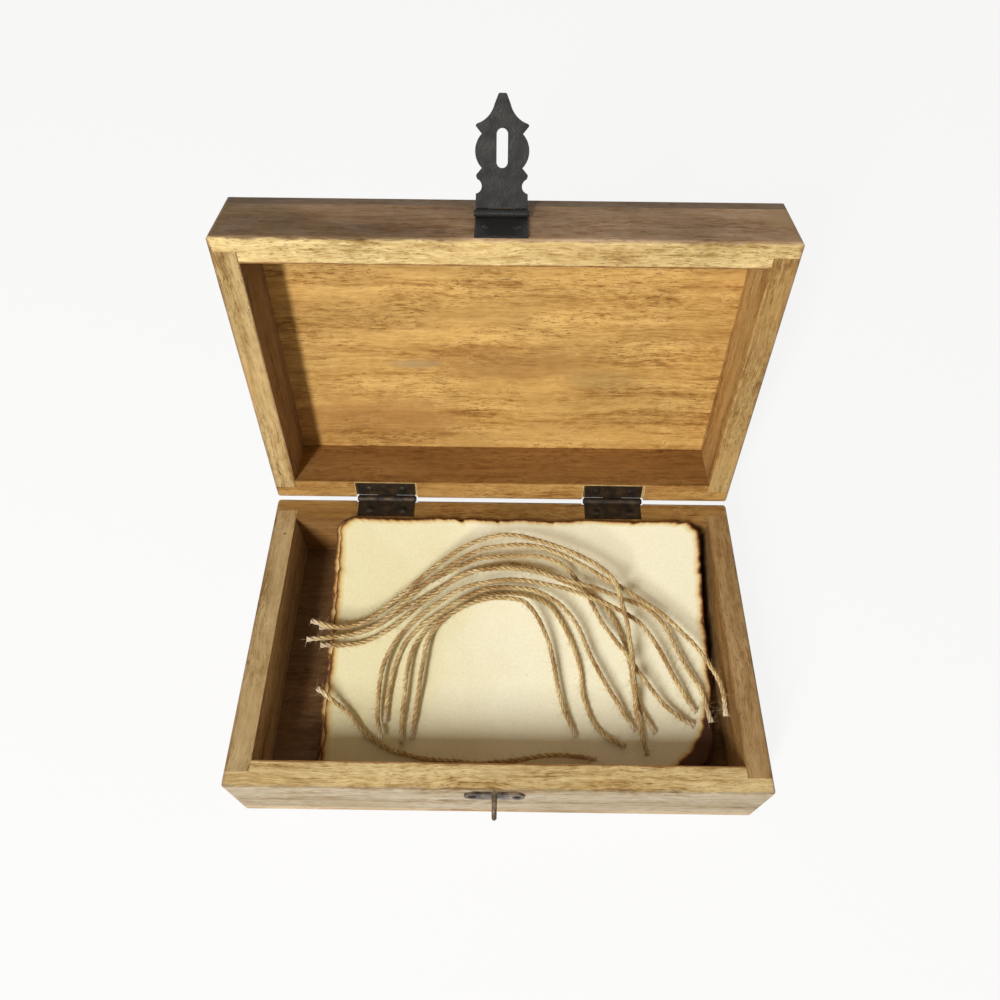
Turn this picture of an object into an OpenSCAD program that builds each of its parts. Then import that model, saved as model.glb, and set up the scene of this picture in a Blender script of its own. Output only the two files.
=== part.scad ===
// Ditty box: a small hinged wooden box for papers and keepsakes, standing open.
// The base and the lid are frames of four boards with rebated corners and a flat
// panel each. Two iron butt hinges join them, and a fretted iron hasp closes over
// a staple on the front. A pile of handmade paper and loose jute twine lie inside.
// The origin is at the centre of the underside. X runs to the right, Y to the back.

/* [Box] */
// Width of the box, left to right
box_w = 203; // [200:1:260]
// Depth of the box, front to back
box_d = 127; // [120:1:160]
// Height of the base from underside to rim
base_h = 34; // [30:1:60]
// Height of the lid from rim to top
lid_h = 30; // [24:1:50]
// Gap between the two rims when the lid is down
seam = 0.4; // [0.2:0.1:1]
// Angle at which the lid stands open on its stop
lid_open = 99.9; // [60:0.1:105]

/* [Boards] */
// Thickness of the left and right boards
side_t = 9.5; // [6:0.5:12]
// Thickness of the front and rear boards
front_t = 10.3; // [8:0.1:12]
// Thickness of the bottom and top panels
panel_t = 6.5; // [3:0.5:8]
// Wood left outside the side boards at each corner rebate
rebate_leaf = 6.1; // [4:0.1:7]
// Radius on the upright corners
corner_r = 2.2; // [0.5:0.1:4]
// Radius on the outer edges of the panels
edge_r = 2.4; // [0.5:0.1:4]
// Radius worn on the outer edges of the rims
rim_r = 0.8; // [0.2:0.1:1.5]

/* [Hinges] */
// Centre of the left hinge from the middle of the box
left_hinge_x = -52; // [-60:1:-30]
// Centre of the right hinge from the middle of the box
right_hinge_x = 50; // [30:1:60]
// Length of each hinge along its pin
hinge_w = 25.4; // [20:0.1:32]
// Reach of each leaf from the pin axis
leaf_reach = 9.2; // [8:0.1:9.6]
// Thickness of the hinge leaves
leaf_t = 1; // [0.8:0.1:1.2]
// Outer radius of the rolled knuckles
knuckle_r = 1.7; // [1.6:0.1:2]
// Radius of the hinge pins
pin_r = 0.7; // [0.5:0.05:0.8]
// Distance of the pin axis behind the rear face
pin_back = 0.6; // [0.4:0.1:1.5]
// Distance of the two nails from the middle of a leaf
hinge_nail_x = 7.5; // [5:0.5:9]

/* [Hasp] */
// Centre of the hasp and staple from the middle of the box
hasp_x = -1.3; // [-10:0.1:10]
// Half of the hasp's width
hasp_half = 9.1; // [9:0.1:12]
// Height of the hasp's pin above the lid's rim
hasp_pin_up = 14.6; // [12:0.1:18]
// Thickness of the hasp's leaf and strap
hasp_t = 0.9; // [0.7:0.1:1]
// Outer radius of the hasp's knuckles
hasp_knuckle_r = 1.6; // [1.5:0.1:1.8]
// Radius of the hasp's pin
hasp_pin_r = 0.65; // [0.5:0.05:0.7]
// Width of the slot in the strap
slot_w = 3.8; // [3.2:0.1:4.4]
// Start of the slot from the pin axis
slot_near = 14.5; // [13.8:0.1:14.8]
// End of the slot from the pin axis
slot_far = 26.9; // [26:0.1:27.4]
// Angle of the strap from its folded place
strap_swing = 108; // [0:1:175]

/* [Strap outline] */
// Middle of the hollow above the shoulder, from the pin axis
hollow_at = 8.7; // [8.5:0.1:9]
// Depth of the hollow
hollow_in = 2.2; // [1.8:0.1:2.4]
// Radius of the hollow
hollow_r = 2.5; // [2.3:0.1:2.6]
// Middle of the bead, from the pin axis
bead_at = 12; // [11.8:0.1:12.4]
// Room between the bead and the full width
bead_in = 0.25; // [0:0.05:0.6]
// Radius of the bead
bead_r = 0.85; // [0.6:0.05:1]
// Middle of the round belly, from the pin axis
belly_at = 19.8; // [19.6:0.1:20.2]
// Swell of the belly past the full width
belly_out = 0.05; // [0:0.05:0.3]
// Radius of the belly
belly_r = 7.4; // [6.8:0.1:7.6]
// Middle of the barb, from the pin axis
barb_at = 27.6; // [27.2:0.1:28]
// Room between the barb and the full width
barb_in = 0.2; // [0:0.05:0.6]
// Radius of the barb
barb_r = 0.5; // [0.4:0.05:0.7]
// Radius of the hollow flare under the tip
flare_r = 8.45; // [8:0.05:9]
// Narrowest width of the flare past the tip
flare_out = 0.85; // [0.5:0.05:1.2]
// Middle of the flare's arc below the tip
flare_drop = 1; // [0.5:0.1:1.5]
// End of the strap, from the pin axis
tip_at = 37.3; // [36.8:0.1:38]
// Half of the tip's width
tip_half = 1.5; // [1.2:0.1:1.8]
// Radius on the tip's corners
tip_r = 0.6; // [0.3:0.1:0.9]

/* [Staple] */
// Length of the staple plate
plate_w = 22.4; // [20:0.1:30]
// Height of the staple plate
plate_h = 8; // [7:0.1:12]
// Diameter of the staple wire
wire_d = 1.9; // [1.5:0.1:2.4]
// Height of the eye inside the loop
eye_h = 4.3; // [4.1:0.1:5]
// Reach of the loop in front of the box
loop_reach = 9.1; // [8:0.1:11]
// Distance of the plate's nails from its middle
plate_nail_x = 8.2; // [6.5:0.1:9]

/* [Nails] */
// Radius of the nail shanks
shank_r = 0.8; // [0.5:0.1:1]
// Radius of the domed nail heads
head_r = 1.6; // [1.2:0.1:2]
// Height of the domed nail heads
head_h = 0.6; // [0.3:0.1:0.65]
// Length of the shanks below the metal
shank_l = 6; // [3:0.5:8]

/* [Contents] */
// Room between the paper and the left board
paper_left_room = 18.4; // [18:0.1:40]
// Room between the paper and the right board
paper_right_room = 4; // [1:0.1:20]
// Thickness of the pile under the top sheet
pile_t = 5; // [2:0.5:8]
// Thickness of the top sheet
sheet_t = 0.6; // [0.3:0.1:1]
// Rise of the paper's rear edge over its front edge
paper_rise = 24.5; // [10:0.5:25]
// Sag of the paper below a straight line
paper_sag = 3; // [1:0.5:5]
// Diameter of the twine
twine_d = 2.2; // [1.6:0.1:2.3]

/* [Hidden] */
$fn = 48;

// A hair of room where a round piece sits still in its hole
seat_gap = 0.03;
// Running room round a pin
pin_gap = 0.05;
// Room between neighbouring knuckles and round what turns past an edge
turn_gap = 0.25;
// Room between the paper and the boards that it leans on
paper_gap = 0.3;
// Extra length of a cut past the face it leaves
over = 1;

// Cut of the lid's hinge notches past the leaf
notch_spare = 0.8;
// Head of the hinge pins and of the hasp's pin
pin_head_t = 0.5;
pin_head_r = 1.2;
hasp_pin_head_r = 1.1;
// Radius of the sphere that domes a nail head
dome_r = 3;
// The hasp's nails: from its middle, and above the lid's rim
hasp_nail_x = 5.2;
hasp_nail_up = 6;
// Lower edge of the hasp's leaf above the lid's rim
hasp_leaf_up = 0.3;
// Length of the middle knuckle's room in the hasp
hasp_mid_w = 9;

inner_x = box_w / 2 - side_t;
inner_y = box_d / 2 - front_t;
face_y = box_d / 2;
side_len = box_d - 2 * rebate_leaf;
paper_w = 2 * inner_x - paper_left_room - paper_right_room;
paper_x = (paper_left_room - paper_right_room) / 2;
lid_z = base_h + seam;
top_z = lid_z + lid_h;
pin_y = face_y + pin_back;
pin_z = lid_z;
hasp_pin_y = -face_y - hasp_knuckle_r - pin_gap;
hasp_pin_z = lid_z + hasp_pin_up;
leaf_nail_y = -(leaf_reach + knuckle_r) / 2;
plate_z = base_h - plate_h / 2 - 0.1;
loop_r = (eye_h + wire_d) / 2;
loop_bend_y = -face_y - loop_reach + loop_r + wire_d / 2;
wood = "#b98f58";
dark_wood = "#8d6b47";
iron = "#2f2c29";
paper = "#f3e6c0";
jute = "#a98f63";

// Points on an arc from angle a to angle b
function arc(x, y, r, a, b, n) = [for (i = [0:n]) [x + r * cos(a + (b - a) * i / n), y + r * sin(a + (b - a) * i / n)]];

// Outline of a rectangle with its own radius at the lower and the upper corners
function soft_rect(w, low, high, r_low, r_high) = concat(
    arc(w / 2 - r_low, low + r_low, r_low, 270, 360, 6),
    arc(w / 2 - r_high, high - r_high, r_high, 0, 90, 6),
    arc(-w / 2 + r_high, high - r_high, r_high, 90, 180, 6),
    arc(-w / 2 + r_low, low + r_low, r_low, 180, 270, 6)
);

// The outer shape of one half of the box, rounded on its edges and corners
module outer_shape(low, high, r_low, r_high) {
    intersection() {
        translate([0, 0, low]) linear_extrude(high - low)
            translate([0, -face_y]) polygon(soft_rect(box_w, 0, box_d, corner_r, corner_r));
        translate([0, face_y, 0]) rotate([90, 0, 0]) linear_extrude(box_d)
            polygon(soft_rect(box_w, low, high, r_low, r_high));
        translate([-box_w / 2, 0, 0]) rotate([90, 0, 90]) linear_extrude(box_w)
            polygon(soft_rect(box_d, low, high, r_low, r_high));
    }
}

module base_shape() {
    outer_shape(0, base_h, edge_r, rim_r);
}

module lid_shape() {
    outer_shape(lid_z, top_z, rim_r, edge_r);
}

// The space of a side board: side is -1 for the left one and 1 for the right one
module side_space(side, low, high) {
    translate([side > 0 ? inner_x : -box_w / 2, -side_len / 2, low])
        cube([side_t, side_len, high - low]);
}

// The space of a front or rear board with a rebate at each end: side is -1 for the front
module end_space(side, low, high) {
    translate([-inner_x, side > 0 ? inner_y : -face_y, low])
        cube([2 * inner_x, front_t, high - low]);
    translate([-box_w / 2, side > 0 ? face_y - rebate_leaf : -face_y, low])
        cube([box_w, rebate_leaf, high - low]);
}

// Hinge furniture. Angles at the pin are those of the closed lid.

// The cut for one hinge leaf in a rim, wider than the leaf by spare on its free sides
module leaf_notch(x, low, high, spare) {
    translate([x - hinge_w / 2 - spare, pin_y - leaf_reach - spare, low])
        cube([hinge_w + 2 * spare, leaf_reach + spare + over, high - low]);
    translate([x - hinge_w / 2 - over - turn_gap, pin_y, pin_z]) rotate([0, 90, 0])
        cylinder(r = knuckle_r + turn_gap, h = hinge_w + 2 * over + 2 * turn_gap);
}

// A leaf drawn with its pin on the X axis, lying towards -Y with its outer face down
module hinge_leaf(thirds) {
    seg = hinge_w / 3;
    difference() {
        union() {
            translate([-hinge_w / 2, -leaf_reach, -knuckle_r])
                cube([hinge_w, leaf_reach - knuckle_r - turn_gap, leaf_t]);
            for (i = thirds) {
                room = i == 1 ? turn_gap / 2 : 0;
                translate([-hinge_w / 2 + i * seg + room, -knuckle_r - turn_gap - over, -knuckle_r])
                    cube([seg - 2 * room, knuckle_r + turn_gap + over, leaf_t]);
                translate([-hinge_w / 2 + i * seg + room, 0, 0]) rotate([0, 90, 0])
                    cylinder(r = knuckle_r, h = seg - 2 * room);
            }
        }
        translate([-hinge_w / 2 - over, 0, 0]) rotate([0, 90, 0])
            cylinder(r = pin_r + pin_gap, h = hinge_w + 2 * over);
        for (x = [-hinge_nail_x, hinge_nail_x])
            translate([x, leaf_nail_y, -knuckle_r - over])
                cylinder(r = shank_r + seat_gap, h = leaf_t + 2 * over);
    }
}

// A hinge pin with a low head at each end, along the X axis
module pin(w, r, head) {
    translate([-w / 2, 0, 0]) rotate([0, 90, 0]) cylinder(r = r, h = w);
    for (side = [-1, 1])
        translate([side * (w + pin_head_t) / 2, 0, 0]) rotate([0, 90, 0])
            cylinder(r = head, h = pin_head_t, center = true);
}

// A nail pointing down, with the underside of its domed head on the XY plane
module nail(grip) {
    translate([0, 0, -grip - shank_l]) cylinder(r = shank_r, h = grip + shank_l);
    intersection() {
        cylinder(r = head_r, h = head_h);
        translate([0, 0, head_h - dome_r]) sphere(r = dome_r);
    }
}

// The hole that a nail's shank fills in the wood under the metal
module nail_hole() {
    translate([0, 0, -shank_l]) cylinder(r = shank_r + seat_gap, h = shank_l + over);
}

// Carries what is drawn with its pin on the X axis to the box's hinge line
module at_hinge_line(x) {
    translate([x, pin_y, pin_z]) children();
}

// Turns what is drawn for the closed lid to the open lid
module opened() {
    translate([0, pin_y, pin_z]) rotate([-lid_open, 0, 0]) translate([0, -pin_y, -pin_z]) children();
}

// Places children at the nails of a base leaf, pointing down into the rim
module at_base_leaf_nails() {
    for (x = [left_hinge_x, right_hinge_x])
        for (dx = [-hinge_nail_x, hinge_nail_x])
            translate([x + dx, pin_y + leaf_nail_y, pin_z - knuckle_r]) children();
}

// Places children at the nails of a lid leaf, pointing up into the rim
module at_lid_leaf_nails() {
    for (x = [left_hinge_x, right_hinge_x])
        for (dx = [-hinge_nail_x, hinge_nail_x])
            translate([x + dx, pin_y + leaf_nail_y, pin_z + knuckle_r]) rotate([180, 0, 0]) children();
}

// Places children at points of the front face, x and z, pointing into the wood
module on_front(points) {
    for (p = points)
        translate([p[0], -face_y, p[1]]) rotate([90, 0, 0]) children();
}

hasp_nail_points = [for (dx = [-hasp_nail_x, hasp_nail_x]) [hasp_x + dx, lid_z + hasp_nail_up]];
plate_nail_points = [for (dx = [-plate_nail_x, plate_nail_x]) [hasp_x + dx, plate_z]];
loop_leg_points = [for (dz = [-loop_r, loop_r]) [hasp_x, plate_z + dz]];

// The boards and panels

module bottom_panel() {
    color(dark_wood) intersection() {
        base_shape();
        translate([-box_w / 2, -face_y, 0]) cube([box_w, box_d, panel_t]);
    }
}

module base_front_board() {
    color(wood) difference() {
        intersection() {
            base_shape();
            end_space(-1, panel_t, base_h);
        }
        on_front(plate_nail_points) nail_hole();
        on_front(loop_leg_points) translate([0, 0, -shank_l])
            cylinder(d = wire_d + 2 * seat_gap, h = shank_l + over);
    }
}

module base_rear_board() {
    color(wood) difference() {
        intersection() {
            base_shape();
            end_space(1, panel_t, base_h);
        }
        for (x = [left_hinge_x, right_hinge_x])
            leaf_notch(x, pin_z - knuckle_r, base_h + over, seat_gap);
        at_base_leaf_nails() nail_hole();
    }
}

module base_side_board(side) {
    color(wood) intersection() {
        base_shape();
        side_space(side, panel_t, base_h);
    }
}

module base_left_board() {
    base_side_board(-1);
}

module base_right_board() {
    base_side_board(1);
}

module lid_top_panel() {
    color(wood) opened() intersection() {
        lid_shape();
        translate([-box_w / 2, -face_y, top_z - panel_t]) cube([box_w, box_d, panel_t]);
    }
}

module lid_front_board() {
    color(dark_wood) opened() difference() {
        intersection() {
            lid_shape();
            end_space(-1, lid_z, top_z - panel_t);
        }
        on_front(hasp_nail_points) nail_hole();
    }
}

module lid_rear_board() {
    color(wood) opened() difference() {
        intersection() {
            lid_shape();
            end_space(1, lid_z, top_z - panel_t);
        }
        for (x = [left_hinge_x, right_hinge_x])
            leaf_notch(x, lid_z - over, pin_z + knuckle_r, notch_spare);
        at_lid_leaf_nails() nail_hole();
    }
}

module lid_side_board(side) {
    color(wood) opened() intersection() {
        lid_shape();
        side_space(side, lid_z, top_z - panel_t);
    }
}

module lid_left_board() {
    lid_side_board(-1);
}

module lid_right_board() {
    lid_side_board(1);
}

// The hinges

module base_leaf(x) {
    color(iron) at_hinge_line(x) hinge_leaf([0, 2]);
}

module lid_leaf(x) {
    color(iron) opened() at_hinge_line(x) mirror([0, 0, 1]) hinge_leaf([1]);
}

module hinge_pin(x) {
    color(iron) at_hinge_line(x) pin(hinge_w, pin_r, pin_head_r);
}

module hinge_left_base_leaf() {
    base_leaf(left_hinge_x);
}

module hinge_right_base_leaf() {
    base_leaf(right_hinge_x);
}

module hinge_left_lid_leaf() {
    lid_leaf(left_hinge_x);
}

module hinge_right_lid_leaf() {
    lid_leaf(right_hinge_x);
}

module hinge_left_pin() {
    hinge_pin(left_hinge_x);
}

module hinge_right_pin() {
    hinge_pin(right_hinge_x);
}

module base_hinge_nails() {
    color(iron) at_base_leaf_nails() translate([0, 0, leaf_t]) nail(leaf_t);
}

module lid_hinge_nails() {
    color(iron) opened() at_lid_leaf_nails() translate([0, 0, leaf_t]) nail(leaf_t);
}

// The staple

module staple_plate() {
    end_r = plate_h / 2;
    color(iron) translate([hasp_x, -face_y, plate_z]) rotate([90, 0, 0]) linear_extrude(hasp_t)
        difference() {
            union() {
                square([plate_w - plate_h, plate_h], center = true);
                for (side = [-1, 1])
                    translate([side * (plate_w / 2 - end_r), 0]) circle(r = end_r);
            }
            for (side = [-1, 1]) {
                translate([side * plate_nail_x, 0]) circle(r = shank_r + seat_gap);
                translate([0, side * loop_r]) circle(d = wire_d + 2 * seat_gap);
            }
        }
}

module staple_loop() {
    color(iron) {
        for (side = [-1, 1])
            translate([hasp_x, -face_y + shank_l, plate_z + side * loop_r]) rotate([90, 0, 0])
                cylinder(d = wire_d, h = shank_l - face_y - loop_bend_y);
        translate([hasp_x, loop_bend_y, plate_z]) rotate([90, 0, 0]) rotate([0, 90, 0])
            rotate_extrude(angle = 180) translate([loop_r, 0]) circle(d = wire_d);
    }
}

module staple_nails() {
    color(iron) on_front(plate_nail_points) translate([0, 0, hasp_t]) nail(hasp_t);
}

// The hasp, drawn with its pin on the X axis and hanging down, its front towards -Y

// Outline of the strap's right half, from the pin up: x across, y along the strap
strap_half = concat(
    [[hasp_half, 0]],
    arc(hasp_half - hollow_in + hollow_r, hollow_at, hollow_r, 260, 110, 8),
    arc(hasp_half - bead_in - bead_r, bead_at, bead_r, -50, 50, 4),
    arc(hasp_half + belly_out - belly_r, belly_at, belly_r, -45.8, 45.8, 10),
    arc(hasp_half - barb_in - barb_r, barb_at, barb_r, -50, 60, 4),
    arc(tip_half + flare_out + flare_r, tip_at - flare_drop, flare_r, 253, 195, 8),
    arc(tip_half - tip_r, tip_at - tip_r, tip_r, 15, 90, 3)
);

module hasp_strap_plate() {
    difference() {
        polygon(concat(strap_half, [for (i = [len(strap_half) - 1:-1:0]) [-strap_half[i][0], strap_half[i][1]]]));
        translate([-slot_w / 2, slot_near + slot_w / 2])
            square([slot_w, slot_far - slot_near - slot_w]);
        for (y = [slot_near + slot_w / 2, slot_far - slot_w / 2])
            translate([0, y]) circle(d = slot_w);
        translate([-hasp_mid_w / 2, -over])
            square([hasp_mid_w, over + hasp_knuckle_r + turn_gap]);
    }
}

// Rolled knuckles along the X axis: each span is a start and an end
module hasp_knuckles(spans) {
    for (span = spans)
        translate([span[0], 0, 0]) rotate([0, 90, 0]) cylinder(r = hasp_knuckle_r, h = span[1] - span[0]);
}

module hasp_pin_hole() {
    translate([-hasp_half - over, 0, 0]) rotate([0, 90, 0])
        cylinder(r = hasp_pin_r + pin_gap, h = 2 * hasp_half + 2 * over);
}

module at_hasp_pin() {
    opened() translate([hasp_x, hasp_pin_y, hasp_pin_z]) children();
}

hasp_outer_spans = [[-hasp_half, -hasp_mid_w / 2], [hasp_mid_w / 2, hasp_half]];
hasp_mid_half = hasp_mid_w / 2 - turn_gap / 2;

module hasp_strap() {
    color(iron) at_hasp_pin() rotate([-strap_swing, 0, 0]) difference() {
        union() {
            translate([0, hasp_t - hasp_knuckle_r, 0]) rotate([90, 0, 0])
                linear_extrude(hasp_t) mirror([0, 1]) hasp_strap_plate();
            hasp_knuckles(hasp_outer_spans);
        }
        hasp_pin_hole();
    }
}

module hasp_leaf() {
    leaf_bottom = hasp_pin_up - hasp_leaf_up;
    color(iron) at_hasp_pin() difference() {
        union() {
            translate([-hasp_half, hasp_knuckle_r + pin_gap - hasp_t, -leaf_bottom])
                cube([2 * hasp_half, hasp_t, leaf_bottom - hasp_knuckle_r - turn_gap]);
            translate([-hasp_mid_half, hasp_knuckle_r + pin_gap - hasp_t, -hasp_knuckle_r - turn_gap - over])
                cube([2 * hasp_mid_half, hasp_t, hasp_knuckle_r + turn_gap + over]);
            hasp_knuckles([[-hasp_mid_half, hasp_mid_half]]);
        }
        hasp_pin_hole();
        for (dx = [-hasp_nail_x, hasp_nail_x])
            translate([dx, 0, hasp_nail_up - hasp_pin_up]) rotate([90, 0, 0])
                cylinder(r = shank_r + seat_gap, h = 2 * hasp_knuckle_r + 2 * over, center = true);
    }
}

module hasp_pin() {
    color(iron) at_hasp_pin() pin(2 * hasp_half, hasp_pin_r, hasp_pin_head_r);
}

module hasp_nails() {
    color(iron) opened() on_front(hasp_nail_points) translate([0, 0, hasp_t]) nail(hasp_t);
}

// The paper

// Height of the pile's underside, t running from 0 at the front to 1 at the back
function paper_low(t) = panel_t + paper_rise * t - paper_sag * 4 * t * (1 - t);

// A slab of paper that sags between the front board and the rear board
module paper_slab(lift, thick) {
    d = 2 * (inner_y - paper_gap);
    n = 16;
    low = max([for (i = [0:n]) panel_t - paper_low(i / n)]);
    line = [for (i = [0:n]) [-d / 2 + d * i / n, paper_low(i / n) + low + lift]];
    back = [for (i = [n:-1:0]) [line[i][0], line[i][1] + thick]];
    translate([paper_x - paper_w / 2, 0, 0]) rotate([90, 0, 90]) linear_extrude(paper_w)
        polygon(concat(line, back));
}

module paper_pile() {
    color(paper) paper_slab(0, pile_t);
}

module paper_top_sheet() {
    color(paper) paper_slab(pile_t, sheet_t);
}

// The twine: the points that each length passes through

twine_routes = [
    [[-79, 5, 30], [-65, 3, 29], [-54, 7, 30], [-41, 17, 33], [-26, 29, 38], [-9, 37, 44], [8, 38, 46],
     [31, 31, 44], [46, 22, 41], [51, 9, 36], [54, -10, 30], [55, -29, 23], [59, -44, 15]],
    [[-80, -2, 28], [-65, 0, 27], [-50, 6, 28], [-34, 20, 33], [-16, 32, 38], [1, 37, 40], [21, 35, 40],
     [47, 22, 36], [61, 14, 33], [69, 9, 31], [82, -5, 28], [89, -18, 27], [90, -31, 25]],
    [[-76, 4, 26], [-61, 6, 25], [-46, 15, 27], [-26, 27, 31], [-9, 33, 35], [6, 34, 36], [21, 33, 36],
     [33, 24, 33], [43, 7, 28], [52, -6, 27], [59, -16, 24], [68, -26, 20], [79, -33, 17]],
    [[-72, 1, 24], [-58, 3, 24], [-44, 11, 26], [-26, 22, 29], [-9, 30, 31], [8, 32, 32], [26, 26, 30],
     [43, 17, 27], [51, 3, 24], [54, -9, 22], [56, -23, 19], [63, -36, 16]],
    [[-75, -3, 24], [-62, -2, 23], [-49, 3, 24], [-30, 17, 30], [-13, 26, 36], [8, 27, 37], [31, 22, 36],
     [51, 17, 32], [66, 10, 28], [77, -9, 23], [83, -20, 20], [86, -31, 17]],
    [[-47, -40, 19], [-49, -30, 19], [-48, -12, 24], [-40, 2, 28], [-29, 11, 32], [-13, 19, 37], [8, 21, 39],
     [31, 17, 36], [47, 12, 33], [60, 5, 29], [69, -9, 24], [74, -18, 21], [80, -28, 18]],
    [[-46, -33, 17], [-45, -20, 19], [-42, -6, 22], [-35, 4, 25], [-24, 11, 29], [-9, 19, 32], [8, 21, 32],
     [21, 17, 31], [30, 9, 29], [39, -9, 24], [44, -18, 22], [50, -28, 19], [55, -35, 16]],
    [[-39, -41, 15], [-39, -25, 20], [-37, -7, 24], [-30, 5, 25], [-19, 13, 26], [-7, 19, 28], [8, 20, 28],
     [20, 16, 27], [28, 5, 24], [33, -9, 21], [35, -23, 18], [41, -35, 16], [51, -41, 15]],
    [[-35, -39, 15], [-33, -21, 21], [-30, -1, 26], [-22, 8, 30], [-13, 13, 32], [-4, 15, 33], [6, 15, 33],
     [12, 13, 31], [18, 4, 28], [22, -8, 24], [25, -23, 20], [31, -38, 16]],
    [[-74, -21, 22], [-62, -29, 18], [-51, -39, 15], [-33, -46, 15], [-11, -48, 15], [5, -47, 15],
     [21, -45, 16], [39, -46, 15]]
];

// A point on the smooth curve between p[i] and p[i + 1], t from 0 to 1
function bend(a, b, c, d, t) = (2 * b + (c - a) * t + (2 * a - 5 * b + 4 * c - d) * t * t
    + (3 * b - a - 3 * c + d) * t * t * t) / 2;

// The centreline through the points, with the points halfway between them
function centreline(p) = let (q = concat([2 * p[0] - p[1]], p, [2 * p[len(p) - 1] - p[len(p) - 2]]))
    concat([for (i = [0:len(p) - 2]) for (t = [0, 0.5]) bend(q[i], q[i + 1], q[i + 2], q[i + 3], t)],
        [p[len(p) - 1]]);

function unit(v) = v / norm(v);

// A tube of eight sides along a centreline
module tube(line, d) {
    sides = 8;
    n = len(line);
    ring = [for (i = [0:n - 1])
        let (
            along = unit(line[min(i + 1, n - 1)] - line[max(i - 1, 0)]),
            across = unit(cross(along, [0, 0, 1])),
            up = cross(across, along)
        )
        for (k = [0:sides - 1])
            line[i] + d / 2 * (cos(360 * k / sides) * across + sin(360 * k / sides) * up)];
    skin = [for (i = [0:n - 2]) for (k = [0:sides - 1])
        let (a = i * sides + k, b = i * sides + (k + 1) % sides)
        each [[a, b, b + sides], [a, b + sides, a + sides]]];
    first = [for (k = [sides - 1:-1:0]) k];
    last = [for (k = [0:sides - 1]) (n - 1) * sides + k];
    polyhedron(ring, concat(skin, [first, last]));
}

module twine(i) {
    color(jute) tube(centreline(twine_routes[i]), twine_d);
}

bottom_panel();
base_front_board();
base_rear_board();
base_left_board();
base_right_board();
hinge_left_base_leaf();
hinge_right_base_leaf();
hinge_left_pin();
hinge_right_pin();
base_hinge_nails();
staple_plate();
staple_loop();
staple_nails();
paper_pile();
paper_top_sheet();
twine(0);  // twine_01
twine(1);  // twine_02
twine(2);  // twine_03
twine(3);  // twine_04
twine(4);  // twine_05
twine(5);  // twine_06
twine(6);  // twine_07
twine(7);  // twine_08
twine(8);  // twine_09
twine(9);  // twine_10
lid_top_panel();
lid_front_board();
lid_rear_board();
lid_left_board();
lid_right_board();
hinge_left_lid_leaf();
hinge_right_lid_leaf();
lid_hinge_nails();
hasp_leaf();
hasp_pin();
hasp_nails();
hasp_strap();
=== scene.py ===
import math
import random

import bmesh
import bpy
from mathutils import Matrix, Vector, noise


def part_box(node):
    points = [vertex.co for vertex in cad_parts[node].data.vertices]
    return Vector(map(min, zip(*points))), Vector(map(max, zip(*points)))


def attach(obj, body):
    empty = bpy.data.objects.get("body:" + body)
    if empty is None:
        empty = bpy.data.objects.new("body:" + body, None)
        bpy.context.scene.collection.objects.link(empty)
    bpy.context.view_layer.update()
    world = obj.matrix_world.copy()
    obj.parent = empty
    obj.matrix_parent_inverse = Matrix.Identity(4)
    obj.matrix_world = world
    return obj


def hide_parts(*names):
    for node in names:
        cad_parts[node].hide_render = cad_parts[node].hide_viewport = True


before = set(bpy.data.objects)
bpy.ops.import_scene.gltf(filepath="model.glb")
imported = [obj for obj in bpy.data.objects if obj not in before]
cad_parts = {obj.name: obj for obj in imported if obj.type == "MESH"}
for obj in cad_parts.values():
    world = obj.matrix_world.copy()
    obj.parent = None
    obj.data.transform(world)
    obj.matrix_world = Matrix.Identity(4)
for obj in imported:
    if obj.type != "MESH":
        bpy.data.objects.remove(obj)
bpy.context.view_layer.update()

MM = 0.001

# The boards: a plain case of old fruitwood. The side boards are glued into rebates
# of the front and rear boards, and all edges are rounded by a plane and by wear.
# The wood is oiled brown inside, and has weathered outside.
case_x = 101.5 * MM
case_y = 63.5 * MM
case_top = 64.4 * MM
inner_x = 92 * MM
inner_y = 53.2 * MM
hinge_y = 64.1 * MM
hinge_z = 34.4 * MM
opened_by = math.radians(99.9)
outer_fray = 2.2 * MM
inner_fray = 1.2 * MM
notch_fray = 1.0 * MM
grain_bend = 0.005


def add_node(tree, kind, inputs=(), **settings):
    """Adds a shader or geometry node with its settings and inputs; an input may be a socket."""
    node = tree.nodes.new(kind)
    for key, value in settings.items():
        setattr(node, key, value)
    for key, value in dict(inputs).items():
        if isinstance(value, bpy.types.NodeSocket):
            tree.links.new(value, node.inputs[key])
        else:
            node.inputs[key].default_value = value
    return node


def tone(code):
    """A colour as a painter's code, such as b98f58, in the renderer's own terms."""
    parts = [int(code[i : i + 2], 16) / 255 for i in (0, 2, 4)]
    return [c / 12.92 if c < 0.04045 else ((c + 0.055) / 1.055) ** 2.4 for c in parts] + [1.0]


def ramp(tree, fac, stops):
    """A colour ramp through stops of place and colour."""
    node = add_node(tree, "ShaderNodeValToRGB", {"Fac": fac})
    while len(node.color_ramp.elements) < len(stops):
        node.color_ramp.elements.new(0.5)
    for element, (place, colour) in zip(node.color_ramp.elements, stops):
        element.position = place
        element.color = colour
    return node.outputs["Color"]


def blend_colour(tree, fac, a, b, way="MIX"):
    """Mixes colour b over colour a."""
    return add_node(tree, "ShaderNodeMix", {0: fac, 6: a, 7: b}, data_type="RGBA", blend_type=way).outputs[2]


def sums(tree, way, a, b=0.0, c=0.0):
    """One sum on values."""
    return add_node(tree, "ShaderNodeMath", {0: a, 1: b, 2: c}, operation=way).outputs[0]


def between(tree, value, low, high, start=0.0, end=1.0):
    """The value's place between low and high, held inside start and end."""
    inputs = {0: value, 1: low, 2: high, 3: start, 4: end}
    return add_node(tree, "ShaderNodeMapRange", inputs, clamp=True).outputs[0]


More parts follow.
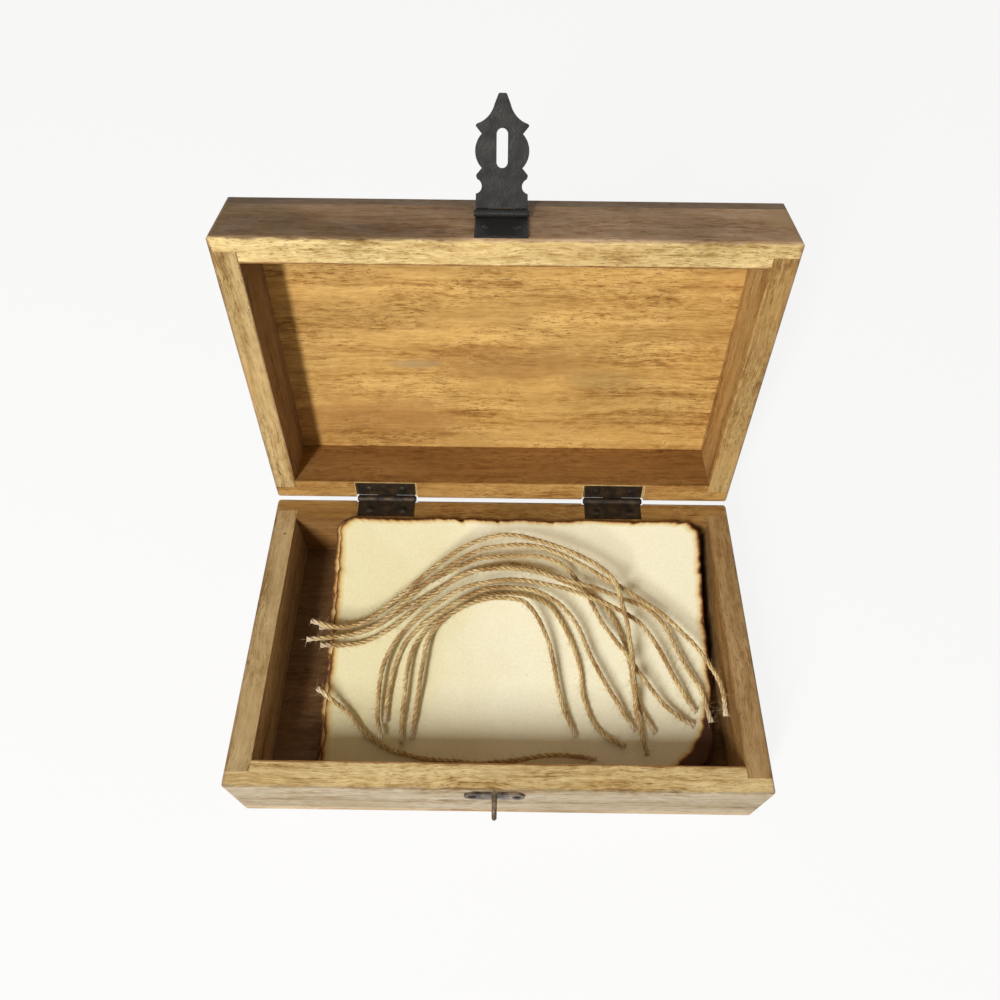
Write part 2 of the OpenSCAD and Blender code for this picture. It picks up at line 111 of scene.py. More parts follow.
def noise_at(tree, vector, scale, detail, roughness=0.5, output="Fac"):
    """Soft noise on a pattern's coordinates."""
    inputs = {"Vector": vector, "Scale": scale, "Detail": detail, "Roughness": roughness}
    return add_node(tree, "ShaderNodeTexNoise", inputs).outputs[output]


def new_material(name):
    """A material with an empty principled shader: returns it, its tree and the shader."""
    material = bpy.data.materials.new(name)
    material.use_nodes = True
    tree = material.node_tree
    return material, tree, tree.nodes["Principled BSDF"]


def finish_surface(tree, shader, colour, height, strength, distance):
    """Joins the colour and the relief to the shader."""
    tree.links.new(colour, shader.inputs["Base Color"])
    bump = add_node(tree, "ShaderNodeBump", {"Height": height, "Strength": strength, "Distance": distance})
    tree.links.new(bump.outputs["Normal"], shader.inputs["Normal"])


def case_place(tree, in_lid):
    """The place on the case as it is when it is closed, in metres."""
    place = add_node(tree, "ShaderNodeTexCoord").outputs["Object"]
    if not in_lid:
        return place
    axis = Vector((0, hinge_y, hinge_z))
    shift = axis - Matrix.Rotation(opened_by, 4, "X") @ axis
    inputs = {"Vector": place, "Rotation": (opened_by, 0, 0), "Location": tuple(shift)}
    return add_node(tree, "ShaderNodeMapping", inputs, vector_type="POINT").outputs["Vector"]


def stretched(tree, vector, along, fine, lengthwise, start=(0.0, 0.0, 0.0)):
    """Coordinates for a pattern that is long in the direction of the grain."""
    scale = [fine, fine, fine]
    scale[along] = lengthwise
    inputs = {"Vector": vector, "Scale": tuple(scale), "Location": start}
    return add_node(tree, "ShaderNodeMapping", inputs).outputs["Vector"]


def lay_grain(tree, place, grain, start):
    """A board's own pattern: its shading, worn places, clouds, open pores and relief."""

    def layer(vector, fine, lengthwise, detail, roughness=0.5):
        drawn_out = stretched(tree, vector, grain, fine, lengthwise, start)
        return noise_at(tree, drawn_out, 1.0, detail, roughness)

    wave = noise_at(tree, place, 38.0, 2.0, output="Color")
    shift = add_node(tree, "ShaderNodeVectorMath", {0: wave, 1: (0.5, 0.5, 0.5)}, operation="SUBTRACT")
    bend = {0: shift.outputs[0], 1: (grain_bend, grain_bend, grain_bend), 2: place}
    bent = add_node(tree, "ShaderNodeVectorMath", bend, operation="MULTIPLY_ADD").outputs[0]
    broad = layer(bent, 150, 10, 3.0)
    streaks = layer(bent, 620, 34, 5.0, 0.65)
    fibre = layer(bent, 2300, 130, 4.0, 0.6)
    mottle = layer(place, 420, 240, 4.0, 0.6)
    clouds = layer(place, 42, 19, 4.0)
    worn = layer(place, 210, 120, 5.0)
    worn_zone = layer(place, 75, 24, 2.0)
    pores = layer(bent, 2300, 420, 2.0)

    shares = ((broad, 0.40), (streaks, 0.42), (fibre, 0.42), (mottle, 0.26))
    middle = 0.5 * sum(share for _, share in shares)
    figure = 0.0
    for pattern, share in shares:
        figure = sums(tree, "MULTIPLY_ADD", pattern, share, figure)
    lively = between(tree, worn_zone, 0.36, 0.64, 0.62, 1.35)
    figure = sums(tree, "MULTIPLY_ADD", sums(tree, "SUBTRACT", figure, middle), lively, middle)
    shade = ramp(
        tree,
        between(tree, figure, middle - 0.2, middle + 0.2),
        [
            (0.10, (0.46, 0.35, 0.22, 1)),
            (0.32, (0.77, 0.69, 0.55, 1)),
            (0.50, (0.98, 0.97, 0.95, 1)),
            (0.68, (1.14, 1.17, 1.20, 1)),
            (0.90, (1.30, 1.40, 1.55, 1)),
        ],
    )
    pored_zone = between(tree, worn_zone, 0.40, 0.60, 0.1, 1.2)
    dashes = sums(tree, "MULTIPLY", between(tree, pores, 0.60, 0.68), pored_zone)
    relief = sums(tree, "MULTIPLY_ADD", fibre, 0.7, streaks)
    relief = sums(tree, "MULTIPLY_ADD", dashes, -0.8, relief)
    relief = sums(tree, "MULTIPLY_ADD", worn, 0.9, relief)
    return shade, worn, clouds, dashes, relief


def outer_mask(tree, axes, fray):
    """Where the outer faces of the closed case are, with a worn edge towards the rims."""
    beyond = sums(tree, "SUBTRACT", sums(tree, "ABSOLUTE", axes[0]), case_x)
    for past in (
        sums(tree, "SUBTRACT", sums(tree, "ABSOLUTE", axes[1]), case_y),
        sums(tree, "SUBTRACT", axes[2], case_top),
        sums(tree, "MULTIPLY", axes[2], -1.0),
    ):
        beyond = sums(tree, "MAXIMUM", beyond, past)
    edge = sums(tree, "MULTIPLY_ADD", fray, outer_fray, beyond)
    return between(tree, edge, -1.5 * MM, -0.6 * MM)


def notch_mask(tree, axes, fray, leaf):
    """Where a chisel left raw wood round the notch of a hinge leaf."""
    low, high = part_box(leaf)
    beside = sums(tree, "ABSOLUTE", sums(tree, "SUBTRACT", axes[0], (low[0] + high[0]) / 2))
    beside = sums(tree, "SUBTRACT", beside, (high[0] - low[0]) / 2)
    behind = sums(tree, "SUBTRACT", low[1], axes[1])
    above = sums(tree, "SUBTRACT", axes[2], hinge_z + 1.2 * MM)
    away = sums(tree, "MAXIMUM", sums(tree, "MAXIMUM", beside, behind), above)
    return between(tree, sums(tree, "MULTIPLY_ADD", fray, notch_fray, away), 1.3 * MM, 0.8 * MM, 0.0, 0.75)


def spot_mask(tree, place, grain, fray, centre, radius, strength, long):
    """Where a spot in the wood is: long along the grain, with a frayed edge."""
    offset = add_node(tree, "ShaderNodeVectorMath", {0: place, 1: centre}, operation="SUBTRACT").outputs[0]
    squeezed = stretched(tree, offset, grain, 1.0, 1.0 / long)
    gap = add_node(tree, "ShaderNodeVectorMath", {0: squeezed}, operation="LENGTH").outputs["Value"]
    frayed_gap = sums(tree, "MULTIPLY_ADD", fray, radius * 1.2, gap)
    return between(tree, frayed_gap, radius, radius * 0.4, 0.0, strength)


def make_wood(
    name,
    grain,
    rim,
    start,
    outside,
    inside=None,
    in_lid=False,
    lean=0.0,
    pored=0.5,
    spots=(),
    leaves=(),
):
    """Old board with the grain along axis 0 or 1, its outer and inner faces toned apart from its rim."""
    material, tree, shader = new_material(name)
    place = case_place(tree, in_lid)
    axes = add_node(tree, "ShaderNodeSeparateXYZ", {"Vector": place}).outputs
    shade, worn, clouds, dashes, relief = lay_grain(tree, place, grain, start)
    fray = sums(tree, "SUBTRACT", worn, 0.5)
    colour = tone(rim)
    if inside:
        across, limit = (1, inner_y) if grain == 0 else (0, inner_x)
        within = sums(tree, "SUBTRACT", limit, sums(tree, "ABSOLUTE", axes[across]))
        edge = sums(tree, "MULTIPLY_ADD", fray, inner_fray, within)
        colour = blend_colour(tree, between(tree, edge, -0.8 * MM, -0.3 * MM), colour, tone(inside))
    outer = outer_mask(tree, axes, fray)
    bleached = sums(tree, "MULTIPLY_ADD", axes[0], lean, clouds)
    weather = blend_colour(tree, between(tree, bleached, 0.3, 0.7), tone(outside[0]), tone(outside[1]))
    colour = blend_colour(tree, outer, colour, weather)
    colour = blend_colour(tree, 1.0, colour, shade, "MULTIPLY")
    stains = [(0.30, (0.80, 0.80, 0.74, 1)), (0.48, (1, 1, 1, 1)), (0.70, (1.08, 1.05, 0.98, 1))]
    colour = blend_colour(tree, 0.8, colour, ramp(tree, clouds, stains), "MULTIPLY")
    colour = blend_colour(tree, sums(tree, "MULTIPLY", dashes, pored), colour, tone("5b3a1c"))
    for leaf in leaves:
        colour = blend_colour(tree, notch_mask(tree, axes, fray, leaf), colour, tone("dfc692"))
    for centre, radius, spot_tone, strength, long in spots:
        spot = spot_mask(tree, place, grain, fray, centre, radius, strength, long)
        if centre[1] > -case_y:
            spot = sums(tree, "MULTIPLY", spot, sums(tree, "SUBTRACT", 1.0, outer))
        colour = blend_colour(tree, spot, colour, tone(spot_tone))
    finish_surface(tree, shader, colour, relief, 0.55, 0.25 * MM)
    tree.links.new(between(tree, worn, 0.3, 0.7, 0.52, 0.74), shader.inputs["Roughness"])
    shader.inputs["Specular IOR Level"].default_value = 0.28
    return material


def dress(material, *nodes):
    """Gives CAD nodes their material in every slot."""
    for node in nodes:
        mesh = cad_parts[node].data
        if not mesh.materials:
            mesh.materials.append(material)
        for i in range(len(mesh.materials)):
            mesh.materials[i] = material


weathered = ("8f7656", "a78c66")
dress(make_wood("bottom_wood", 0, "765735", (1, 4, 2), ("b7a07e", "c4ae8f")), "bottom_panel")
dress(
    make_wood("base_front_wood", 0, "cfb783", (3, 1, 7), ("ac9c7f", "a99c87"), "8e6538", pored=0.3),
    "base_front_board",
)
dress(make_wood("base_rear_wood", 0, "98733e", (13, 5, 1), weathered, "926b3c"), "base_rear_board")
pin_knot = [((-95.5 * MM, 45.2 * MM, 34 * MM), 0.6 * MM, "1f130a", 0.9, 1.2)]
dress(
    make_wood("base_left_wood", 1, "b1986c", (2, 9, 5), weathered, "b79a70", spots=pin_knot),
    "base_left_board",
)
dress(make_wood("base_right_wood", 1, "aa8b5f", (8, 3, 11), weathered, "977446"), "base_right_board")
panel_spots = [
    ((-55 * MM, 36 * MM, 58 * MM), 17 * MM, "a1713a", 0.6, 3.0),
    ((0, 6 * MM, 58 * MM), 13 * MM, "a1763f", 0.6, 3.5),
    ((42 * MM, 14 * MM, 58 * MM), 7 * MM, "8f7648", 0.35, 3.0),
    ((-38 * MM, 6 * MM, 58 * MM), 3 * MM, "9b8c6c", 0.45, 4.0),
]
dress(
    make_wood(
        "lid_panel_wood",
        0,
        "c39a58",
        (5, 2, 9),
        ("64513d", "7a6650"),
        in_lid=True,
        pored=0.6,
        spots=panel_spots,
    ),
    "lid_top_panel",
)
rubbed_end = [((99 * MM, -case_y, 50 * MM), 8 * MM, "a8906a", 0.8, 1.4)]
dress(
    make_wood(
        "lid_front_wood",
        0,
        "cdb37b",
        (6, 12, 3),
        ("745c3f", "ad9072"),
        "8a6236",
        in_lid=True,
        lean=3.5,
        spots=rubbed_end,
    ),
    "lid_front_board",
)
notched_for = ("hinge_left_base_leaf", "hinge_right_base_leaf")
dress(
    make_wood("lid_rear_wood", 0, "b1884c", (9, 2, 4), weathered, "906837", True, leaves=notched_for),
    "lid_rear_board",
)
dress(make_wood("lid_left_wood", 1, "b79b69", (4, 7, 8), weathered, "8f714f", True), "lid_left_board")
dress(make_wood("lid_right_wood", 1, "a98a56", (7, 6, 2), weathered, "b6925c", True), "lid_right_board")


# The ironwork: two butt hinges, a hasp and its staple, cut from blackened sheet
# and wire and held by round headed nails. The high places are rubbed bright.
def make_iron(name, dark, brown, shine, rough, pitted=0.5):
    """Blackened iron with brown rust, small pits and rubbed places."""
    material, tree, shader = new_material(name)
    place = add_node(tree, "ShaderNodeTexCoord").outputs["Object"]
    rust = noise_at(tree, place, 240.0, 5.0)
    pits = noise_at(tree, place, 1300.0, 3.0)
    pocked = ramp(tree, pits, [(0.35, (0.5, 0.5, 0.5, 1)), (0.6, (1.1, 1.1, 1.1, 1))])
    colour = ramp(tree, rust, [(0.35, tone(dark)), (0.52, tone(brown)), (0.72, tone(shine))])
    colour = blend_colour(tree, pitted, colour, pocked, "MULTIPLY")
    finish_surface(tree, shader, colour, sums(tree, "MULTIPLY_ADD", rust, 1.5, pits), 0.45, 0.2 * MM)
    tree.links.new(between(tree, rust, 0.3, 0.7, rough + 0.12, rough - 0.1), shader.inputs["Roughness"])
    shader.inputs["Metallic"].default_value = 0.3
    shader.inputs["Specular IOR Level"].default_value = 0.3
    return material


dress(
    make_iron("hinge_iron", "1f1810", "33271a", "4d3d26", 0.5),
    "hinge_left_base_leaf",
    "hinge_right_base_leaf",
    "hinge_left_lid_leaf",
    "hinge_right_lid_leaf",
    "hinge_left_pin",
    "hinge_right_pin",
)
dress(
    make_iron("hasp_iron", "1b1a18", "201f1c", "282622", 0.5, 0.25),
    "hasp_leaf",
    "hasp_strap",
    "hasp_pin",
    "hasp_nails",
)
# The staple's iron is toned paler than the rest: partly its own lighter metal, partly painted highlight
# standing in for the shine on its wire.
dress(make_iron("staple_iron_pale_with_painted_highlight", "33291f", "6b5a46", "a08e74", 0.4), "staple_plate", "staple_loop")
dress(
    make_iron("nail_iron", "1c1813", "2b241b", "463c2c", 0.45),
    "base_hinge_nails",
    "lid_hinge_nails",
    "staple_nails",
)

# The paper: a pile of handmade rag sheets with a top sheet, sagging between the
# front board and the rear board. The deckle edges are torn and scorched brown.
paper_low, paper_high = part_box("paper_pile")
top_low, top_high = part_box("paper_top_sheet")
pile_t = 5 * MM
sheet_t = 0.5 * MM
sheet_count = 8
paper_sag = 3 * MM
pile_rise = paper_high[2] - paper_low[2] - pile_t
sheet_gap = (pile_t - sheet_count * sheet_t) / sheet_count
edge_step = 0.9 * MM
char_reach = 30 * MM
char_depth = 7.0
sheet_wave = 0.12


def make_paper():
    """Cream rag paper, darker and yellower on the left as painted shade, with flecks and a scorched edge."""
    material, tree, shader = new_material("paper")
    place = add_node(tree, "ShaderNodeTexCoord").outputs["Object"]
    from_edge = add_node(tree, "ShaderNodeAttribute", attribute_name="from_edge").outputs["Fac"]
    flecks = noise_at(tree, place, 900.0, 5.0)
    clouds = noise_at(tree, place, 22.0, 3.0)
    ragged = noise_at(tree, place, 130.0, 5.0)
    across = add_node(tree, "ShaderNodeSeparateXYZ", {"Vector": place}).outputs["X"]
    # Painted shade: the cream grows darker and yellower towards the left side of the paper.
    painted_shade_across = sums(tree, "MULTIPLY_ADD", across, 5.0, clouds)
    cream = ramp(tree, painted_shade_across, [(0.2, tone("eee8bf")), (0.55, tone("fdfbe0"))])
    mealy = ramp(tree, flecks, [(0.4, tone("efe3bf")), (0.6, tone("ffffff"))])
    cream = blend_colour(tree, 0.2, cream, mealy, "MULTIPLY")
    depth = sums(tree, "MULTIPLY_ADD", sums(tree, "SUBTRACT", ragged, 0.5), 2.0, from_edge)
    scorch = ramp(
        tree,
        sums(tree, "DIVIDE", depth, 4.0),
        [
            (0.0, tone("4a2a14")),
            (0.09, tone("8a5a33")),
            (0.18, tone("cfa679")),
            (0.30, tone("efdfbd")),
            (0.60, tone("ffffff")),
        ],
    )
    colour = blend_colour(tree, 1.0, cream, scorch, "MULTIPLY")
    cells = {"Vector": place, "Scale": 95.0, "Randomness": 1.0}
    bran = add_node(tree, "ShaderNodeTexVoronoi", cells, feature="F1").outputs["Distance"]
    speck = ramp(tree, bran, [(0.02, (1, 1, 1, 1)), (0.04, (0, 0, 0, 1))])
    colour = blend_colour(tree, sums(tree, "MULTIPLY", speck, 0.35), colour, tone("a58a5a"))
    finish_surface(tree, shader, colour, sums(tree, "MULTIPLY_ADD", clouds, 2.0, flecks), 0.35, 0.2 * MM)
    shader.inputs["Roughness"].default_value = 0.9
    return material


paper = make_paper()


def torn_edge(x0, x1, y0, y1, corner, burnt, seed):
    """The torn edge of one sheet, walked anticlockwise from the burnt corner, and its centre."""
    points = []
    for cx, cy, start, r in (
        (x1, y0, -90, burnt),
        (x1, y1, 0, corner),
        (x0, y1, 90, corner),
        (x0, y0, 180, corner),
    ):
        sx = 1 if cx == x1 else -1
        sy = 1 if cy == y1 else -1
        for i in range(9):
            a = math.radians(start + 90 * i / 8)
            points.append(Vector((cx - sx * r + r * math.cos(a), cy - sy * r + r * math.sin(a))))
    loop = []
    for a, b in zip(points, points[1:] + points[:1]):
        cuts = max(1, round((b - a).length / edge_step))
        for i in range(cuts):
            loop.append(a.lerp(b, i / cuts))
    centre = Vector(((x0 + x1) / 2, (y0 + y1) / 2))
    torn = []
    for p in loop:
        q = Vector((p.x / (7 * MM), p.y / (7 * MM), seed))
        bite = 0.9 * abs(noise.noise(q)) + 0.6 * abs(noise.noise(q * 3.5))
        bite += 1.4 * max(0.0, noise.noise(q * 0.5) - 0.1)
        bite += 2.2 * max(0.0, noise.noise(q * 1.7 + Vector((4, 0, 0))) - 0.22)
        torn.append(p + (centre - p).normalized() * bite * MM * 1.1)
    return torn, centre


def paper_height(y, lift):
    """Height of a sheet's underside at y, from the sag of the CAD pile."""
    t = (y - paper_low[1]) / (paper_high[1] - paper_low[1])
    t = min(1.0, max(0.0, t))
    return paper_low[2] + pile_rise * t - 4 * paper_sag * t * (1 - t) + lift


def cut_sheet(name, x0, x1, y0, y1, corner, burnt, lift, seed, curl_up, insets):
    """One sheet as a closed solid of rings from its torn edge to its middle; insets in millimetres."""
    outline, centre = torn_edge(x0, x1, y0, y1, corner, burnt, seed)
    sheet = bmesh.new()
    from_edge = sheet.verts.layers.float.new("from_edge")
    half = (y1 - y0) / 2 / MM
    rings = []
    for inset in insets:
        ring = []
        for p in outline:
            q = centre.lerp(p, 1 - inset / half)
            wave = noise.noise(Vector((q.x / (26 * MM), q.y / (26 * MM), seed + 5)))
            ruffle = noise.noise(Vector((q.x / (9 * MM), q.y / (9 * MM), seed + 9)))
            curl = curl_up * math.exp(-inset / 3.0) * ruffle
            height = paper_height(q.y, lift) + min(sheet_wave * MM, sheet_wave * MM * wave) + max(0.0, curl)
            vert = sheet.verts.new((q.x, q.y, height + sheet_t))
            charred = char_depth * max(0.0, 1 - math.hypot(q.x - x1, q.y - y0) / char_reach)
            vert[from_edge] = inset - charred
            ring.append(vert)
        rings.append(ring)
    middle = sheet.verts.new((centre.x, centre.y, paper_height(centre.y, lift) + sheet_t))
    middle[from_edge] = half
    count = len(outline)
    for ring, inner in zip(rings, rings[1:]):
        for k in range(count):
            m = (k + 1) % count
            sheet.faces.new((ring[k], ring[m], inner[m], inner[k]))
    for k in range(count):
        sheet.faces.new((rings[-1][k], rings[-1][(k + 1) % count], middle))
    under = bmesh.ops.duplicate(sheet, geom=list(sheet.faces))
    for part in under["geom"]:
        if isinstance(part, bmesh.types.BMVert):
            part.co.z -= sheet_t
        elif isinstance(part, bmesh.types.BMFace):
            part.normal_flip()
    twin = under["vert_map"]
    for k in range(count):
        a, b = rings[0][k], rings[0][(k + 1) % count]
        sheet.faces.new((twin[a], twin[b], b, a))
    bmesh.ops.recalc_face_normals(sheet, faces=sheet.faces)
    for face in sheet.faces:
        face.smooth = True
    result = bpy.data.meshes.new(name)
    sheet.to_mesh(result)
    sheet.free()
    result.materials.append(paper)
    return result


def add_piece(name, mesh, body, material_slot, *nodes):
    """Links a finished mesh as a piece that rides on a body and may stand for CAD nodes."""
    piece = bpy.data.objects.new(name, mesh)
    bpy.context.scene.collection.objects.link(piece)
    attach(piece, body)
    if nodes:
        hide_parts(*nodes)
    return piece


pile = bmesh.new()
pile_shake = random.Random(11)
for level in range(sheet_count):
    left_in, right_in, front_in, rear_in = (pile_shake.uniform(0.0, 1.6) * MM for _ in range(4))
    one = cut_sheet(
        "sheet",
        x0=paper_low[0] + left_in,
        x1=paper_high[0] - right_in,
        y0=paper_low[1] + front_in * 0.4,
        y1=paper_high[1] - rear_in * 0.6,
        corner=5 * MM,
        burnt=pile_shake.uniform(13, 21) * MM,
        lift=level * (sheet_t + sheet_gap),
        seed=20 + level,
        curl_up=0.0,
        insets=[0, 0.6, 1.5, 3, 8, 16, 27, 40],
    )
    pile.from_mesh(one)
    bpy.data.meshes.remove(one)
pile_mesh = bpy.data.meshes.new("paper_sheets")
pile.to_mesh(pile_mesh)
pile.free()
pile_mesh.materials.append(paper)
add_piece("paper_sheets", pile_mesh, "base", "paper", "paper_pile")

top_mesh = cut_sheet(
    "top_sheet_deckle",
    x0=top_low[0] + 2.3 * MM,
    x1=top_high[0] - 0.3 * MM,
    y0=top_low[1],
    y1=top_high[1] - 0.2 * MM,
    corner=6 * MM,
    burnt=20 * MM,
    lift=pile_t + 0.05 * MM,
    seed=3,
    curl_up=1.2 * MM,
    insets=[0, 0.5, 1.2, 2.2, 4, 7, 12, 20, 30, 40, 48],
)
add_piece("top_sheet_deckle", top_mesh, "base", "paper", "paper_top_sheet")

# The twine: ten lengths of three ply jute, cut bare at both ends, lying loose
# over the paper. Each ply is a strand wound round the cord's own line, and the
# plies stand apart a little where they were cut.
twine_d = 2.2 * MM
ply_count = 3
ply_r = 0.26 * twine_d
ply_offset = 0.22 * twine_d
ply_sides = 6
ply_pitch = 8.5 * MM
ply_wobble = 0.16
wobble_run = 2.0 * MM
twine_sway = 0.45
sway_run = 11 * MM
sway_seed = 1795591876
cut_splay = 0.35
splay_run = 3 * MM
ring_step = 0.9 * MM
twine_routes = [
    [(-79, 5, 30), (-65, 3, 29), (-54, 7, 30), (-41, 17, 33), (-26, 29, 38), (-9, 37, 44), (8, 38, 46),
     (31, 31, 44), (46, 22, 41), (51, 9, 36), (54, -10, 30), (55, -29, 23), (59, -44, 15)],
    [(-80, -2, 28), (-65, 0, 27), (-50, 6, 28), (-34, 20, 33), (-16, 32, 38), (1, 37, 40), (21, 35, 40),
     (47, 22, 36), (61, 14, 33), (69, 9, 31), (82, -5, 28), (89, -18, 27), (90, -31, 25)],
    [(-76, 4, 26), (-61, 6, 25), (-46, 15, 27), (-26, 27, 31), (-9, 33, 35), (6, 34, 36), (21, 33, 36),
     (33, 24, 33), (43, 7, 28), (52, -6, 27), (59, -16, 24), (68, -26, 20), (79, -33, 17)],
    [(-72, 1, 24), (-58, 3, 24), (-44, 11, 26), (-26, 22, 29), (-9, 30, 31), (8, 32, 32), (26, 26, 30),
     (43, 17, 27), (51, 3, 24), (54, -9, 22), (56, -23, 19), (63, -36, 16)],
    [(-75, -3, 24), (-62, -2, 23), (-49, 3, 24), (-30, 17, 30), (-13, 26, 36), (8, 27, 37), (31, 22, 36),
     (51, 17, 32), (66, 10, 28), (77, -9, 23), (83, -20, 20), (86, -31, 17)],
    [(-47, -40, 19), (-49, -30, 19), (-48, -12, 24), (-40, 2, 28), (-29, 11, 32), (-13, 19, 37), (8, 21, 39),
     (31, 17, 36), (47, 12, 33), (60, 5, 29), (69, -9, 24), (74, -18, 21), (80, -28, 18)],
    [(-46, -33, 17), (-45, -20, 19), (-42, -6, 22), (-35, 4, 25), (-24, 11, 29), (-9, 19, 32), (8, 21, 32),
     (21, 17, 31), (30, 9, 29), (39, -9, 24), (44, -18, 22), (50, -28, 19), (55, -35, 16)],
    [(-39, -41, 15), (-39, -25, 20), (-37, -7, 24), (-30, 5, 25), (-19, 13, 26), (-7, 19, 28), (8, 20, 28),
     (20, 16, 27), (28, 5, 24), (33, -9, 21), (35, -23, 18), (41, -35, 16), (51, -41, 15)],
    [(-35, -39, 15), (-33, -21, 21), (-30, -1, 26), (-22, 8, 30), (-13, 13, 32), (-4, 15, 33), (6, 15, 33),
     (12, 13, 31), (18, 4, 28), (22, -8, 24), (25, -23, 20), (31, -38, 16)],
    [(-74, -21, 22), (-62, -29, 18), (-51, -39, 15), (-33, -46, 15), (-11, -48, 15), (5, -47, 15),
     (21, -45, 16), (39, -46, 15)],
]


def make_jute():
    """Straw coloured fibre, with painted shade in the grooves between the plies, and paler at the cut ends.
    """
    material, tree, shader = new_material("jute")
    uv = add_node(tree, "ShaderNodeUVMap", uv_map="lay").outputs["UV"]
    place = add_node(tree, "ShaderNodeTexCoord").outputs["Object"]
    to_end = add_node(tree, "ShaderNodeAttribute", attribute_name="to_end").outputs["Fac"]
    along = add_node(tree, "ShaderNodeMapping", {"Vector": uv, "Scale": (0.55, 13, 1)}).outputs["Vector"]
    fibres = noise_at(tree, along, 1.0, 3.0)
    straw = ramp(tree, fibres, [(0.31, tone("7c5e2c")), (0.46, tone("cfae68")), (0.64, tone("fff0c0"))])
    aged = ramp(tree, noise_at(tree, place, 110.0, 2.0), [(0.34, tone("c2a26c")), (0.60, tone("ffffff"))])
    colour = blend_colour(tree, 0.8, straw, aged, "MULTIPLY")
    round_ply = add_node(tree, "ShaderNodeSeparateXYZ", {"Vector": uv}).outputs["Y"]
    inward = sums(tree, "ABSOLUTE", sums(tree, "SUBTRACT", round_ply, 0.5))
    # Painted shade: each ply's faces that turn in towards the cord's middle, between the plies, are
    # darkened.
    painted_groove_shade = between(tree, inward, 0.08, 0.30, 0.9, 0.0)
    colour = blend_colour(tree, painted_groove_shade, colour, tone("806432"), "MULTIPLY")
    colour = blend_colour(tree, between(tree, to_end, 2.0, 6.0, 0.55, 0.0), colour, tone("f0e0c4"))
    finish_surface(tree, shader, colour, fibres, 0.8, 0.3 * MM)
    shader.inputs["Roughness"].default_value = 0.85
    shader.inputs["Sheen Weight"].default_value = 0.25
    shader.inputs["Sheen Roughness"].default_value = 0.5
    return material


jute = make_jute()


def smooth_line(points):
    """A smooth curve through the points, cut into steps of about one ring."""
    p = [Vector(q) * MM for q in points]
    p = [2 * p[0] - p[1]] + p + [2 * p[-1] - p[-2]]
    line = []
    for a, b, c, d in zip(p, p[1:], p[2:], p[3:]):
        cuts = max(2, round((c - b).length / ring_step))
        for i in range(cuts):
            t = i / cuts
            square = (2 * a - 5 * b + 4 * c - d) * t**2
            cube = (3 * b - a - 3 * c + d) * t**3
            line.append((2 * b + (c - a) * t + square + cube) / 2)
    line.append(p[-2])
    return line


def lay_twine(name, line, seed):
    """Winds the plies round the line and returns the cord's mesh and length."""
    mesh = bmesh.new()
    uv = mesh.loops.layers.uv.new("lay")
    to_end = mesh.verts.layers.float.new("to_end")
    start_turn = random.Random(seed).uniform(0, 2 * math.pi)
    across = (line[1] - line[0]).cross(Vector((0, 0, 1))).normalized()
    run = 0.0
    total = sum((b - a).length for a, b in zip(line, line[1:]))
    stations = []
    for i, point in enumerate(line):
        along = (line[min(i + 1, len(line) - 1)] - line[max(i - 1, 0)]).normalized()
        across = (across - along * across.dot(along)).normalized()
        stations.append((point, across, along.cross(across), run))
        if i + 1 < len(line):
            run += (line[i + 1] - point).length
    for ply in range(ply_count):
        rows = []
        for point, across, up, run in stations:
            angle = start_turn + 2 * math.pi * (ply / ply_count + run / ply_pitch)
            end = min(run, total - run)
            splay = 1 + cut_splay * max(0.0, 1 - end / splay_run)
            wobble = 1 + ply_wobble * noise.noise(Vector((run / wobble_run, ply * 9.1, seed)))
            sway = noise.noise_vector(Vector((run / sway_run, seed * 3.7, 1.0))) * twine_sway * MM
            centre = point + sway + ply_offset * splay * (math.cos(angle) * across + math.sin(angle) * up)
            row = []
            for k in range(ply_sides):
                a = angle + 2 * math.pi * k / ply_sides
                vert = mesh.verts.new(centre + ply_r * wobble * (math.cos(a) * across + math.sin(a) * up))
                vert[to_end] = end / MM
                row.append(vert)
            rows.append((row, run))
        for (row, run), (following, next_run) in zip(rows, rows[1:]):
            for k in range(ply_sides):
                m = (k + 1) % ply_sides
                face = mesh.faces.new((row[k], row[m], following[m], following[k]))
                face.smooth = True
                low, high = k / ply_sides, (k + 1) / ply_sides
                corners = ((run, low), (run, high), (next_run, high), (next_run, low))
                for loop, (u, v) in zip(face.loops, corners):
                    loop[uv].uv = (u / MM + ply * 37 + seed * 91, v)
        mesh.faces.new(list(reversed(rows[0][0])))
        mesh.faces.new(rows[-1][0])
    bmesh.ops.recalc_face_normals(mesh, faces=mesh.faces)
    result = bpy.data.meshes.new(name)
    mesh.to_mesh(result)
    mesh.free()
    result.materials.append(jute)
    return result, total


noise.seed_set(sway_seed)
twine_pieces = []
for number, route in enumerate(twine_routes, 1):
    node = f"twine_{number:02d}"
    line = smooth_line(route)
    cord_mesh, cord_length = lay_twine(node + "_jute", line, number)
    cord = add_piece(node + "_jute", cord_mesh, "base", "jute", node)
    twine_pieces.append(cord)

# Jute fluff: fine ends of fibre that stand out of every length of twine, as they
# do where the plies were spun. One tree of geometry nodes scatters a bent hair
# over the cords' faces.
hair_r = 0.055 * MM
hair_length = 4.6 * MM
hair_bend = 0.45
hairs_per_m2 = 450000.0
hair_lean = 1.25
fluff_seed = 7


